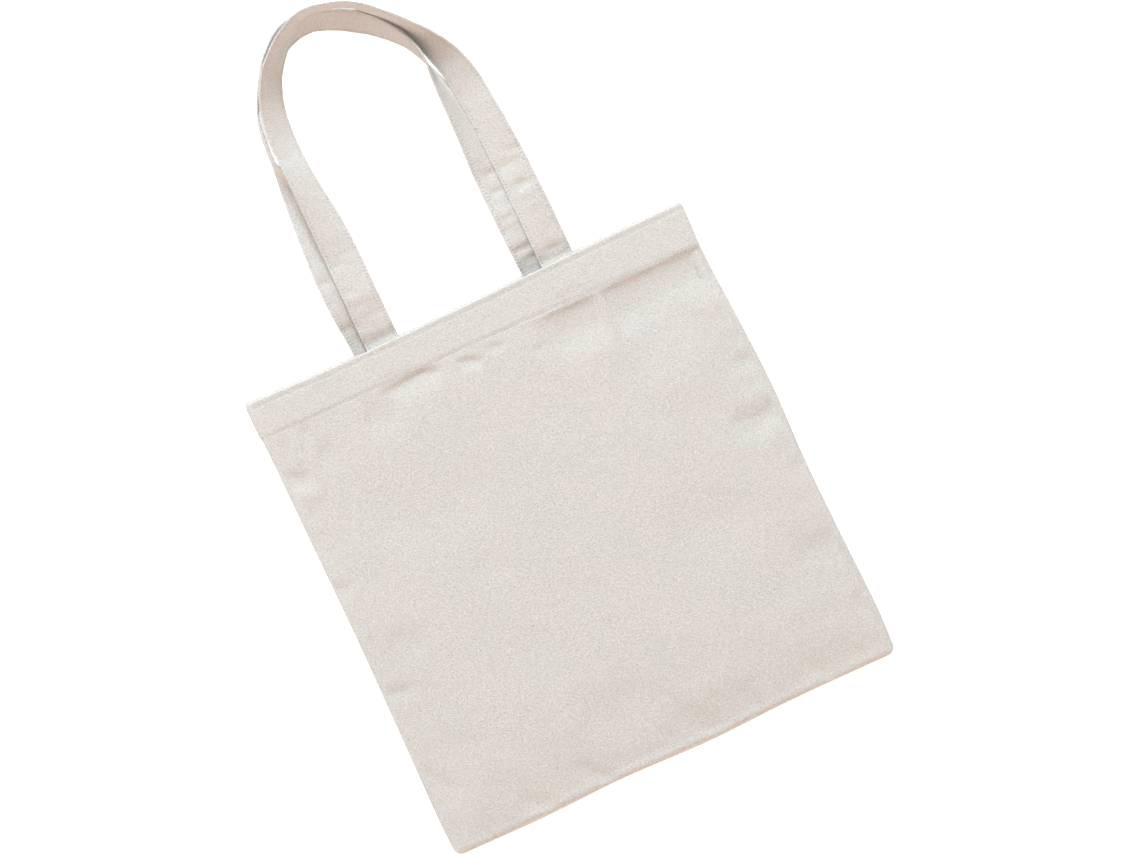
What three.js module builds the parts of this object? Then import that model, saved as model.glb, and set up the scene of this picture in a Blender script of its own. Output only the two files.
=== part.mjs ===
// Canvas tote bag lying on its back, mouth towards +Y and front panel up.
// Millimetres. The origin is on the resting surface, under the middle of the whole object.
import * as THREE from 'three';

// ---------------------------------------------------------------- driving dimensions
const BAG_WIDTH = 380;          // across the bag, along X
const MOUTH_Y = 64;             // the front panel's mouth edge
const BOTTOM_Y = -330;          // the bottom seam
const BACK_EDGE_LIP = 1.5;      // how far the back panel's mouth edge shows past the front's
const CORNER_RADIUS = 10;       // the bottom corners

const CANVAS = 0.8;             // one layer of canvas
const GAP = 0.3;                // air between pieces that touch on the real bag
const HEM_DEPTH = 29;           // depth of the turned-in hem
const SEAM_ALLOWANCE = 9;       // width of the raw edges turned inside
const SEAM_INSET = 3;           // from the bag's edge to the turned allowance

const STRAP_WIDTH = 28;
const STRAP_THICKNESS = 2;      // a strap is canvas folded into layers
const STRAP_END_LENGTH = 28;    // the part of a strap that is sewn inside the hem
const FRONT_STRAP_X = [-72, 81];    // centre lines of the front handle's two ends
const BACK_STRAP_X = [-82.5, 65];   // centre lines of the back handle's two ends

const THREAD_WIDTH = 0.8;
const THREAD_HEIGHT = 0.3;
const STITCH_INSET = 2.4;       // strap edge to the middle of its stitch row
const STITCH_GAP = 0.8;         // air under a strap's stitch row, clear of the strap's twist
const MOUTH_ROW_INSET = 3.5;    // mouth edge to the upper stitch row

const STRAP_STEPS = 64;         // cross-sections along a strap's free loop

// ---------------------------------------------------------------- heights worked out from the layers
const HALF_WIDTH = BAG_WIDTH / 2;
const BACK_PANEL_TOP = CANVAS;
const BACK_HEM_BOTTOM = BACK_PANEL_TOP + GAP;
const BACK_HEM_TOP = BACK_HEM_BOTTOM + CANVAS;
const BACK_END_BOTTOM = BACK_HEM_TOP + GAP;
const BACK_END_TOP = BACK_END_BOTTOM + STRAP_THICKNESS;
const MOUTH_OPENING = 5.6;      // clear height between the straps' sewn ends
const FRONT_END_BOTTOM = BACK_END_TOP + MOUTH_OPENING;
const FRONT_END_TOP = FRONT_END_BOTTOM + STRAP_THICKNESS;
const PLATEAU_UNDERSIDE = FRONT_END_TOP + GAP + CANVAS + GAP;

// The front panel's underside: height above the surface at each distance in from the edge.
const FRONT_RISE = [
  { inset: 0, z: BACK_PANEL_TOP + GAP },
  { inset: 2.5, z: 3.8 },
  { inset: 12, z: 5.5 },
  { inset: 45, z: PLATEAU_UNDERSIDE },
];

function frontUnderside(inset) {
  for (let i = 1; i < FRONT_RISE.length; i += 1) {
    const [near, far] = [FRONT_RISE[i - 1], FRONT_RISE[i]];
    if (inset <= far.inset) {
      return near.z + (far.z - near.z) * (inset - near.inset) / (far.inset - near.inset);
    }
  }
  return PLATEAU_UNDERSIDE;
}

// ---------------------------------------------------------------- materials
const canvasCloth = () => new THREE.MeshStandardMaterial({ color: 0xece7dc, roughness: 0.95, metalness: 0 });
const strapCloth = () => new THREE.MeshStandardMaterial({ color: 0xeae3d5, roughness: 0.92, metalness: 0 });
const thread = () => new THREE.MeshStandardMaterial({ color: 0xf4efe4, roughness: 0.7, metalness: 0 });

// ---------------------------------------------------------------- solids from surfaces and sections

// A closed solid between an upper surface and the same surface lowered by `thickness`.
// `faces` are counter-clockwise seen from above; the edges used once get the side walls.
function thickSheet(points, faces, thickness) {
  const count = points.length;
  const lowered = points.map((p) => new THREE.Vector3(p.x, p.y, p.z - thickness));
  const index = [];
  const used = new Map();
  for (const [a, b, c] of faces) {
    index.push(a, b, c, a + count, c + count, b + count);
    for (const [from, to] of [[a, b], [b, c], [c, a]]) {
      used.set(`${from},${to}`, [from, to]);
    }
  }
  for (const [from, to] of used.values()) {
    if (!used.has(`${to},${from}`)) {
      index.push(from, from + count, to + count, from, to + count, to);
    }
  }
  const geometry = new THREE.BufferGeometry().setFromPoints([...points, ...lowered]);
  geometry.setIndex(index);
  geometry.computeVertexNormals();
  return geometry;
}

// A sheet on a grid: xs across, ys along, with its top at height(x, y).
function gridSheet(xs, ys, height, thickness) {
  const points = ys.flatMap((y) => xs.map((x) => new THREE.Vector3(x, y, height(x, y))));
  const faces = [];
  for (let row = 0; row + 1 < ys.length; row += 1) {
    for (let column = 0; column + 1 < xs.length; column += 1) {
      const a = row * xs.length + column;
      const b = a + xs.length;
      faces.push([a, a + 1, b + 1], [a, b + 1, b]);
    }
  }
  return thickSheet(points, faces, thickness);
}

// A closed solid through a row of four-cornered sections, each counter-clockwise when the row
// runs towards the eye.
function loftSections(sections) {
  const points = sections.flat();
  const index = [];
  for (let i = 0; i + 1 < sections.length; i += 1) {
    for (let side = 0; side < 4; side += 1) {
      const a = i * 4 + side;
      const b = i * 4 + (side + 1) % 4;
      index.push(a, b, b + 4, a, b + 4, a + 4);
    }
  }
  const last = (sections.length - 1) * 4;
  index.push(0, 2, 1, 0, 3, 2, last, last + 1, last + 2, last, last + 2, last + 3);
  const geometry = new THREE.BufferGeometry().setFromPoints(points);
  geometry.setIndex(index);
  geometry.computeVertexNormals();
  return geometry;
}

function slab(xLow, xHigh, yLow, yHigh, zLow, zHigh) {
  const geometry = new THREE.BoxGeometry(xHigh - xLow, yHigh - yLow, zHigh - zLow);
  return geometry.translate((xLow + xHigh) / 2, (yLow + yHigh) / 2, (zLow + zHigh) / 2);
}

// ---------------------------------------------------------------- panels

// The bag's outline drawn in by `inset`: down the left side, round the bottom, up the right.
function outline(inset, topY) {
  const side = HALF_WIDTH - inset;
  const bottom = BOTTOM_Y + inset;
  const r = CORNER_RADIUS;
  const steps = 4;
  const points = [new THREE.Vector2(-side, topY)];
  for (let i = 0; i <= steps; i += 1) {
    const angle = Math.PI * (1 + i / steps / 2);
    points.push(new THREE.Vector2(-side + r + r * Math.cos(angle), bottom + r + r * Math.sin(angle)));
  }
  for (let i = 0; i <= steps; i += 1) {
    const angle = Math.PI * (1.5 + i / steps / 2);
    points.push(new THREE.Vector2(side - r + r * Math.cos(angle), bottom + r + r * Math.sin(angle)));
  }
  points.push(new THREE.Vector2(side, topY));
  return points;
}

function backPanelGeometry() {
  const shape = new THREE.Shape(outline(0, MOUTH_Y + BACK_EDGE_LIP));
  return new THREE.ExtrudeGeometry(shape, { depth: CANVAS, bevelEnabled: false });
}

// The front panel rises from its sewn edges to a flat middle, and is open at the mouth.
function frontPanelGeometry() {
  const rings = FRONT_RISE.map(({ inset, z }) => (
    outline(inset, MOUTH_Y).map((p) => new THREE.Vector3(p.x, p.y, z + CANVAS))
  ));
  const length = rings[0].length;
  const faces = [];
  for (let ring = 0; ring + 1 < rings.length; ring += 1) {
    for (let i = 0; i + 1 < length; i += 1) {
      const outer = ring * length + i;
      const inner = outer + length;
      faces.push([outer, outer + 1, inner + 1], [outer, inner + 1, inner]);
    }
  }
  const base = (rings.length - 1) * length;
  const middle = rings[rings.length - 1].map((p) => new THREE.Vector2(p.x, p.y));
  for (const [a, b, c] of THREE.ShapeUtils.triangulateShape(middle, [])) {
    faces.push([base + a, base + b, base + c]);
  }
  return thickSheet(rings.flat(), faces, CANVAS);
}

// Stations across the bag where the front panel's slope changes, from `inset` in at each side.
function stationsAcross(inset) {
  const left = FRONT_RISE.map((step) => step.inset).filter((value) => value > inset);
  const half = [inset, ...left].map((value) => HALF_WIDTH - value);
  return [...half.map((x) => -x), ...half.reverse()];
}

const underFront = (x) => frontUnderside(HALF_WIDTH - Math.abs(x));

function frontHemGeometry() {
  return gridSheet(stationsAcross(6), [MOUTH_Y - HEM_DEPTH, MOUTH_Y], (x) => underFront(x) - GAP, CANVAS);
}

function backHemGeometry() {
  const side = HALF_WIDTH - SEAM_INSET - SEAM_ALLOWANCE - 1;
  return slab(-side, side, MOUTH_Y - HEM_DEPTH, MOUTH_Y + BACK_EDGE_LIP, BACK_HEM_BOTTOM, BACK_HEM_TOP);
}

// A stitch row on the front panel's face.
function frontRowGeometry(y) {
  const ys = [y - THREAD_WIDTH / 2, y + THREAD_WIDTH / 2];
  const top = (x) => underFront(x) + CANVAS + GAP + THREAD_HEIGHT;
  return gridSheet(stationsAcross(4), ys, top, THREAD_HEIGHT);
}

// A stitch row inside the back hem, which climbs over the two sewn strap ends.
function backRowGeometry(y) {
  const low = BACK_HEM_TOP + GAP + THREAD_HEIGHT;
  const high = BACK_END_TOP + GAP + THREAD_HEIGHT;
  const side = HALF_WIDTH - SEAM_INSET - SEAM_ALLOWANCE - 2;
  const profile = [[-side, low]];
  for (const centre of BACK_STRAP_X) {
    const half = STRAP_WIDTH / 2;
    const run = 2;
    profile.push([centre - half - run, low], [centre - half - GAP, high]);
    profile.push([centre + half + GAP, high], [centre + half + run, low]);
  }
  profile.push([side, low]);
  const heights = new Map(profile);
  const ys = [y - THREAD_WIDTH / 2, y + THREAD_WIDTH / 2];
  return gridSheet(profile.map(([x]) => x), ys, (x) => heights.get(x), THREAD_HEIGHT);
}

// ---------------------------------------------------------------- seams

const ALLOWANCE_BOTTOM = BACK_PANEL_TOP + GAP;
const ALLOWANCE_TOP = ALLOWANCE_BOTTOM + 1.4;       // two layers, pressed flat
const SEAM_THREAD_BOTTOM = ALLOWANCE_TOP + GAP;
const SEAM_THREAD_TOP = SEAM_THREAD_BOTTOM + THREAD_HEIGHT;
const SEAM_THREAD_INSET = SEAM_INSET + 1;
const SIDE_SEAM_LOW = BOTTOM_Y + SEAM_INSET + SEAM_ALLOWANCE + 1;

function sideStrip(side, inset, width, zLow, zHigh) {
  const outer = HALF_WIDTH - inset;
  const xs = side < 0 ? [-outer, -outer + width] : [outer - width, outer];
  return slab(xs[0], xs[1], SIDE_SEAM_LOW, MOUTH_Y - 0.5, zLow, zHigh);
}

function bottomStrip(inset, width, zLow, zHigh) {
  const half = HALF_WIDTH - CORNER_RADIUS;
  const y = BOTTOM_Y + inset;
  return slab(-half, half, y, y + width, zLow, zHigh);
}

// ---------------------------------------------------------------- handles

// A free loop is a flat strap that lies flat at both legs and stands on one long edge round the
// top. Each station gives the strap's lower edge [x, y, z] and where its upper edge is, [x, y].
// The upper edge's height follows from the strap's width.
const FRONT_ENDS_Z = FRONT_END_BOTTOM + STRAP_THICKNESS / 2;
const BACK_ENDS_Z = BACK_END_BOTTOM + STRAP_THICKNESS / 2;
const LOOP_START_Y = MOUTH_Y + BACK_EDGE_LIP + 0.5;

// The front strap leans outwards on its left side, climbs over the back strap near the top
// of the loop and comes down outside it.
const FRONT_LOOP = [
  { low: [-58, LOOP_START_Y, FRONT_ENDS_Z], high: [-86, LOOP_START_Y] },
  { low: [-58, 78, 7.5], high: [-86, 78] },
  { low: [-58, 100, 5.2], high: [-85.9, 100] },
  { low: [-58, 140, 6.2], high: [-85.7, 140] },
  { low: [-59.5, 168, 9], high: [-85.6, 168] },
  { low: [-62, 190, 13.5], high: [-85.4, 190] },
  { low: [-64.5, 210, 15], high: [-85.4, 211] },
  { low: [-65.5, 230, 12], high: [-85.8, 231] },
  { low: [-65.3, 249, 7.5], high: [-85, 252] },
  { low: [-62.5, 270, 3.5], high: [-80.5, 274] },
  { low: [-55.5, 289, 2], high: [-69, 295] },
  { low: [-46.5, 302.5, 2.5], high: [-55.5, 310] },
  { low: [-34, 313.5, 10], high: [-38.5, 322.5] },
  { low: [-18, 323.8, 20], high: [-19.5, 328.9] },
  { low: [-1, 325, 25.5], high: [0, 328] },
  { low: [17.5, 318.5, 16], high: [20.5, 321.5] },
  { low: [32.5, 305, 7], high: [39.5, 308] },
  { low: [45.5, 287, 2.5], high: [57, 290.5] },
  { low: [53.5, 270, 1.3], high: [70, 273.5] },
  { low: [57.5, 252, 1.3], high: [79.5, 255.5] },
  { low: [61, 234, 4.5], high: [85.5, 236] },
  { low: [63, 218, 10.5], high: [88.5, 219] },
  { low: [65.5, 192, 10], high: [91, 192.5] },
  { low: [66.5, 150, 6.5], high: [93.8, 150] },
  { low: [67, 110, 5.2], high: [94.9, 110] },
  { low: [67, 80, 6.8], high: [95, 80] },
  { low: [67, LOOP_START_Y, FRONT_ENDS_Z], high: [95, LOOP_START_Y] },
];

// The back strap lies under the front one at both legs. It stands upright round the top,
// then leans inwards on its way down the right side.
const BACK_LOOP = [
  { low: [-96.5, LOOP_START_Y, BACK_ENDS_Z], high: [-68.5, LOOP_START_Y] },
  { low: [-97.5, 82, 1.6], high: [-69.5, 82] },
  { low: [-99.5, 104, 1.2], high: [-71.5, 104] },
  { low: [-99.8, 134, 1.2], high: [-71.9, 134] },
  { low: [-98.5, 160, 1.2], high: [-71.4, 160] },
  { low: [-97, 182, 1.2], high: [-71.8, 184] },
  { low: [-95.5, 203, 1.2], high: [-82.5, 206] },
  { low: [-92, 228, 1.2], high: [-89.4, 229] },
  { low: [-89.5, 250, 1.2], high: [-90.3, 251] },
  { low: [-83.5, 271, 1.2], high: [-86.5, 271] },
  { low: [-71.5, 289, 1.2], high: [-75, 292] },
  { low: [-55, 303, 1.2], high: [-62, 310.5] },
  { low: [-38, 311.5, 1.2], high: [-42.5, 325.5] },
  { low: [-19, 311, 1.2], high: [-21, 329.4] },
  { low: [-2, 306.5, 1.2], high: [2.5, 322.5] },
  { low: [11.5, 298, 1.2], high: [17.5, 313] },
  { low: [24, 287.5, 1.2], high: [30.5, 298.5] },
  { low: [35, 277.5, 1.2], high: [42, 283.5] },
  { low: [44.5, 267, 1.2], high: [48.5, 269] },
  { low: [51, 253, 1.2], high: [51, 253] },
  { low: [57.5, 236, 1.2], high: [51.5, 236] },
  { low: [65, 219, 1.2], high: [51.3, 219] },
  { low: [72, 190, 1.2], high: [50.5, 190] },
  { low: [76, 150, 1.2], high: [48.8, 150] },
  { low: [77, 110, 1.2], high: [49.1, 110] },
  { low: [78, 82, 1.6], high: [50.1, 82] },
  { low: [79, LOOP_START_Y, BACK_ENDS_Z], high: [51, LOOP_START_Y] },
];

// Sections along a loop: the lower edge, the unit vector across to the upper edge, and the
// unit normal of the face that looks inwards.
function loopStations(loop) {
  const lowEdge = new THREE.CatmullRomCurve3(loop.map(({ low }) => new THREE.Vector3(...low)));
  const highEdge = new THREE.CatmullRomCurve3(loop.map(({ low, high }) => {
    const run = Math.hypot(high[0] - low[0], high[1] - low[1]);
    const rise = Math.sqrt(Math.max(0, STRAP_WIDTH ** 2 - run ** 2));
    return new THREE.Vector3(high[0], high[1], low[2] + rise);
  }));
  const stations = [];
  for (let i = 0; i <= STRAP_STEPS; i += 1) {
    const t = i / STRAP_STEPS;
    const low = lowEdge.getPoint(t);
    const across = highEdge.getPoint(t).sub(low).normalize();
    const normal = lowEdge.getTangent(t).cross(across).normalize();
    stations.push({ low, across, normal });
  }
  return stations;
}

// A closed band along a loop: `from` and `to` are distances across the strap from its lower
// edge, `below` and `above` are distances from its middle plane along the normal.
function bandGeometry(stations, from, to, below, above) {
  const sections = stations.map(({ low, across, normal }) => (
    [[from, below], [to, below], [to, above], [from, above]].map(([width, height]) => (
      low.clone().addScaledVector(across, width).addScaledVector(normal, height)
    ))
  ));
  return loftSections(sections);
}

const loopGeometry = (stations) => (
  bandGeometry(stations, 0, STRAP_WIDTH, -STRAP_THICKNESS / 2, STRAP_THICKNESS / 2)
);

// A stitch row along a strap's face, `distance` in from its lower edge; `face` is +1 or -1.
function loopRowGeometry(stations, distance, face) {
  const near = face * (STRAP_THICKNESS / 2 + STITCH_GAP);
  const far = near + face * THREAD_HEIGHT;
  const [from, to] = [distance - THREAD_WIDTH / 2, distance + THREAD_WIDTH / 2];
  return bandGeometry(stations, from, to, Math.min(near, far), Math.max(near, far));
}

function strapEndGeometry(centre, zLow) {
  const half = STRAP_WIDTH / 2;
  return slab(centre - half, centre + half, MOUTH_Y - STRAP_END_LENGTH, MOUTH_Y, zLow, zLow + STRAP_THICKNESS);
}

// ---------------------------------------------------------------- assembly
const bag = new THREE.Group();
const frontHandle = new THREE.Group();
const backHandle = new THREE.Group();

function add(group, name, geometry, material) {
  const mesh = new THREE.Mesh(geometry, material);
  mesh.name = name;
  group.add(mesh);
}

add(bag, 'back_panel', backPanelGeometry(), canvasCloth());
add(bag, 'front_panel', frontPanelGeometry(), canvasCloth());
add(bag, 'back_hem', backHemGeometry(), canvasCloth());
add(bag, 'front_hem', frontHemGeometry(), canvasCloth());

for (const [side, name] of [[-1, 'left'], [1, 'right']]) {
  const allowance = sideStrip(side, SEAM_INSET, SEAM_ALLOWANCE, ALLOWANCE_BOTTOM, ALLOWANCE_TOP);
  const seam = sideStrip(side, SEAM_THREAD_INSET, THREAD_WIDTH, SEAM_THREAD_BOTTOM, SEAM_THREAD_TOP);
  add(bag, `${name}_seam_allowance`, allowance, canvasCloth());
  add(bag, `${name}_seam_thread`, seam, thread());
}
const bottomAllowance = bottomStrip(SEAM_INSET, SEAM_ALLOWANCE, ALLOWANCE_BOTTOM, ALLOWANCE_TOP);
const bottomThread = bottomStrip(SEAM_THREAD_INSET, THREAD_WIDTH, SEAM_THREAD_BOTTOM, SEAM_THREAD_TOP);
add(bag, 'bottom_seam_allowance', bottomAllowance, canvasCloth());
add(bag, 'bottom_seam_thread', bottomThread, thread());

const MOUTH_ROW_Y = MOUTH_Y - MOUTH_ROW_INSET;
const HEM_ROW_Y = MOUTH_Y - HEM_DEPTH + 2;
add(bag, 'front_mouth_stitching', frontRowGeometry(MOUTH_ROW_Y), thread());
add(bag, 'front_hem_stitching', frontRowGeometry(HEM_ROW_Y), thread());
add(bag, 'back_mouth_stitching', backRowGeometry(MOUTH_ROW_Y), thread());
add(bag, 'back_hem_stitching', backRowGeometry(HEM_ROW_Y), thread());

const ENDS = ['left', 'right'];
ENDS.forEach((name, i) => {
  add(bag, `front_handle_${name}_end`, strapEndGeometry(FRONT_STRAP_X[i], FRONT_END_BOTTOM), strapCloth());
  add(bag, `back_handle_${name}_end`, strapEndGeometry(BACK_STRAP_X[i], BACK_END_BOTTOM), strapCloth());
});

const HANDLES = [
  { name: 'front_handle', group: frontHandle, loop: FRONT_LOOP, face: 1 },
  { name: 'back_handle', group: backHandle, loop: BACK_LOOP, face: -1 },
];
for (const { name, group, loop, face } of HANDLES) {
  const stations = loopStations(loop);
  add(group, `${name}_strap`, loopGeometry(stations), strapCloth());
  add(group, `${name}_lower_stitching`, loopRowGeometry(stations, STITCH_INSET, face), thread());
  const upper = STRAP_WIDTH - STITCH_INSET;
  add(group, `${name}_upper_stitching`, loopRowGeometry(stations, upper, face), thread());
}

const tote = new THREE.Group();
tote.add(bag, frontHandle, backHandle);

export default tote;
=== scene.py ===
"""Canvas tote bag lying on its back: cloth, seams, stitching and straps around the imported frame.

Lengths are millimetres in the bag's own frame, and become metres where a mesh is made.
"""
import math

import bpy
import numpy as np
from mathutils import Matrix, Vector, noise


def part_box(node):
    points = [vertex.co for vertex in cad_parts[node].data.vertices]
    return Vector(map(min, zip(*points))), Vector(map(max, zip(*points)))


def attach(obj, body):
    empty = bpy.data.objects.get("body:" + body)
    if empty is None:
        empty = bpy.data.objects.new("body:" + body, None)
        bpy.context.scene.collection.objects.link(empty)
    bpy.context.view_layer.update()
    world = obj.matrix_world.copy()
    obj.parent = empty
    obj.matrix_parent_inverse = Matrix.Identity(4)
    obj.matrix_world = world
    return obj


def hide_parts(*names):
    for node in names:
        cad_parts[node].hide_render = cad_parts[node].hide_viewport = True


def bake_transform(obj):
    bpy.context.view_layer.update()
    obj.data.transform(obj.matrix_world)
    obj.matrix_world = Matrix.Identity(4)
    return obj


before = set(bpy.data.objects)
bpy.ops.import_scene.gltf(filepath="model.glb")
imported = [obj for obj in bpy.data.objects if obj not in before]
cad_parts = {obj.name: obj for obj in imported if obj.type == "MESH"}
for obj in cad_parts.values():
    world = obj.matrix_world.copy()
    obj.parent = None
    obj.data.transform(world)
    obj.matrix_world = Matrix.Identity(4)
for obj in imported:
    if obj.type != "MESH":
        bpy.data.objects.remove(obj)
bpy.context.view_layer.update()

MM = 0.001


# ------------------------------------------------------------------ sizes, from the frame
def box_mm(node):
    """The low and high corners of a node's box."""
    low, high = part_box(node)
    return np.array(low) / MM, np.array(high) / MM


PANEL_LOW, PANEL_HIGH = box_mm("front_panel")
HALF_WIDTH = PANEL_HIGH[0]
MOUTH_Y = PANEL_HIGH[1]
BOTTOM_Y = PANEL_LOW[1]
BACK_LIP = box_mm("back_panel")[1][1] - MOUTH_Y
HEM_DEPTH = MOUTH_Y - box_mm("front_hem")[0][1]
STRAP_WIDTH = 28
STRAP_THICKNESS = 2.0
STRAP_ENDS_Y = box_mm("front_handle_left_end")[0][1]


def strap_centres(handle):
    """Where a handle's two sewn ends are, across the bag, to a tenth of a millimetre."""
    boxes = [box_mm(f"{handle}_{side}_end") for side in ("left", "right")]
    return [round((low[0] + high[0]) / 2, 1) for low, high in boxes]


CANVAS = 0.7                    # one layer of cloth
CORNER_RADIUS = 6.5
HEM_ROLL = 0.8                  # radius of the cloth's middle where the hem turns over at the mouth
RAW_EDGE = 9                    # cloth turned under inside the hem
RAW_ROLL = 0.4                  # radius of that inner fold
MIDDLE_LOFT = 7.6               # height of the form under the front panel's middle
MOUTH_LOFT = 10.4               # and at the mouth, over the sewn strap ends
FRONT_SEAM_Z = 1.6              # the front panel's cloth at the sewn edges
BACK_REST_Z = 0.4               # the back panel's cloth where it lies on the surface
ALLOWANCE_WIDTH = 9             # what of it stands out from the seam inside the bag
ALLOWANCE_INSET = 3

STITCH_PITCH = 2.9
STITCH_LENGTH = 2.15
THREAD_RADIUS = 0.29
ROW_LEAD = 0.25                 # a row's start to its first stitch, in pitches
UNEVEN = 0.12                   # how far a stitch strays along and across its row
MOUTH_ROW = 3.5                 # mouth edge to the upper stitch row
ROW_SKIP = 6                    # grid columns that a hem's rows stay clear of at each side seam
STRAP_ROW = 2.4                 # strap edge to its stitch row

GRID = 4.0                      # spacing of the simulated cloth
FINE = 2.0                      # spacing of the finished cloth
HEM_FINE = 1.2                  # and in the hem
HEM_MARGIN = 8                  # how far below the hem that spacing reaches
EDGE_STEPS = [0, 0.4, 1.0, 1.8, 2.8, 4.2]   # closer spacing at a sewn edge


# ------------------------------------------------------------------ small helpers
def smoothstep(low, high, value):
    """0 at low, 1 at high and smooth between them. low may be the larger of the two."""
    t = np.clip((np.asarray(value, float) - low) / (high - low), 0, 1)
    return t * t * (3 - 2 * t)


def curve_through(points, samples):
    """A smooth curve (Catmull-Rom) through points, at parameter values from 0 to 1."""
    p = np.asarray(points, float)
    p = np.concatenate([[2 * p[0] - p[1]], p, [2 * p[-1] - p[-2]]])
    position = np.clip(np.asarray(samples, float), 0, 1) * (len(p) - 3)
    i = np.minimum(position.astype(int), len(p) - 4)
    t = (position - i).reshape(-1, *[1] * (p.ndim - 1))
    a, b, c, d = p[i], p[i + 1], p[i + 2], p[i + 3]
    return 0.5 * (2 * b + (c - a) * t + (2 * a - 5 * b + 4 * c - d) * t**2 + (3 * b - a - 3 * c + d) * t**3)


def smooth_values(pairs, where):
    """Values of a smooth curve through (place, value) pairs, at the places asked for."""
    places, values = np.array(sorted(pairs), float).T
    position = np.interp(where, places, np.linspace(0, 1, len(places)))
    return curve_through(values, np.ravel(position)).reshape(np.shape(where))


def soft_noise(x, y, scale, seed=0.0):
    """Smooth noise between about -1 and 1, at a scale in millimetres."""
    flat = [noise.noise(Vector((a / scale, b / scale, seed))) for a, b in zip(np.ravel(x), np.ravel(y))]
    return np.reshape(flat, np.shape(x))


def grid_normals(grid):
    """Unit normals of a grid of points, on the side that looks up where the grid runs right and away."""
    along = np.gradient(grid, axis=0)
    across = np.gradient(grid, axis=1)
    n = np.cross(across, along)
    return n / np.maximum(np.linalg.norm(n, axis=2, keepdims=True), 1e-9)


def resample(grid, rows, columns):
    """A grid of points read off smoothly at fractional rows and columns."""
    ny, nx = grid.shape[:2]
    strips = curve_through(grid, np.asarray(rows) / (ny - 1)).transpose(1, 0, 2)
    return curve_through(strips, np.asarray(columns) / (nx - 1)).transpose(1, 0, 2)


def make_mesh(name, vertices, faces, cloth=None):
    """An object from millimetre vertices. cloth holds each vertex's place on the flat cloth."""
    mesh = bpy.data.meshes.new(name)
    mesh.from_pydata((np.asarray(vertices) * MM).tolist(), [], [list(map(int, f)) for f in faces])
    mesh.update()
    if cloth is not None:
        attribute = mesh.attributes.new("cloth", "FLOAT_VECTOR", "POINT")
        attribute.data.foreach_set("vector", np.asarray(cloth, np.float32).ravel())
    mesh.shade_smooth()
    piece = bpy.data.objects.new(name, mesh)
    bpy.context.scene.collection.objects.link(piece)
    return piece


def thick_grid(middle, cloth, thickness):
    """Vertices, faces and cloth places of a closed sheet around a grid of middle points."""
    ny, nx = middle.shape[:2]
    n = grid_normals(middle)
    count = ny * nx
    half = n * thickness / 2
    vertices = np.vstack([(middle + half).reshape(-1, 3), (middle - half).reshape(-1, 3)])
    index = np.arange(count).reshape(ny, nx)
    a, b = index[:-1, :-1].ravel(), index[:-1, 1:].ravel()
    c, d = index[1:, 1:].ravel(), index[1:, :-1].ravel()
    top = np.stack([a, b, c, d], 1)
    bottom = np.stack([a, d, c, b], 1) + count
    rim = np.concatenate([index[0, :], index[1:, -1], index[-1, -2::-1], index[-2:0:-1, 0]])
    after = np.roll(rim, -1)
    side = np.stack([rim, rim + count, after + count, after], 1)
    flat = np.asarray(cloth, float).reshape(-1, 3)
    return vertices, np.vstack([top, bottom, side]), np.vstack([flat, flat])


# ------------------------------------------------------------------ camera, light and floor
VIEW_CENTRE = (34.0, -57.5)     # what the camera looks straight down on
VIEW_WIDTH = 902.6
VIEW_TURN = math.radians(-25.06)
CAMERA_HEIGHT = 6000.0
SENSOR = 36.0
SKY = ((1.0, 0.878, 0.79, 1), 0.775)
# name, place, aim, diameter (metres), watts, colour
LIGHTS = [
    ("window", (0.15, 3.2, 2.4), (0, 0, 0), 1.14, 192, (0.80, 0.92, 1.0)),
    ("warm_wall", (-0.9, -4.2, 0.95), (0, 0.2, 0), 2.4, 70, (1.0, 0.65, 0.55)),
]
FLOOR_HALF = 4000.0
FLOOR_WHITE = (0.96, 0.96, 0.96, 1)
FLOOR_GLOW = ((1.0, 0.95, 0.92, 1), 0.46)   # the table is lit a little from below


def add_camera():
    """Looks straight down from far away, turned so that the bag lies aslant."""
    data = bpy.data.cameras.new("camera")
    data.sensor_width = SENSOR
    data.lens = SENSOR * CAMERA_HEIGHT / VIEW_WIDTH
    data.clip_end = 100
    camera = bpy.data.objects.new("camera", data)
    bpy.context.scene.collection.objects.link(camera)
    camera.location = Vector((*VIEW_CENTRE, CAMERA_HEIGHT)) * MM
    camera.rotation_euler = (0, 0, VIEW_TURN)
    bpy.context.scene.camera = camera


def add_area(name, location, target, size, energy, color):
    """A round light, placed in metres and aimed at target."""
    data = bpy.data.lights.new(name, "AREA")
    data.shape = "DISK"
    data.size = size
    data.energy = energy
    data.color = color
    light = bpy.data.objects.new(name, data)
    bpy.context.scene.collection.objects.link(light)
    light.location = location
    aim = Vector(target) - Vector(location)
    light.rotation_euler = aim.to_track_quat("-Z", "Y").to_euler()


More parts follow.
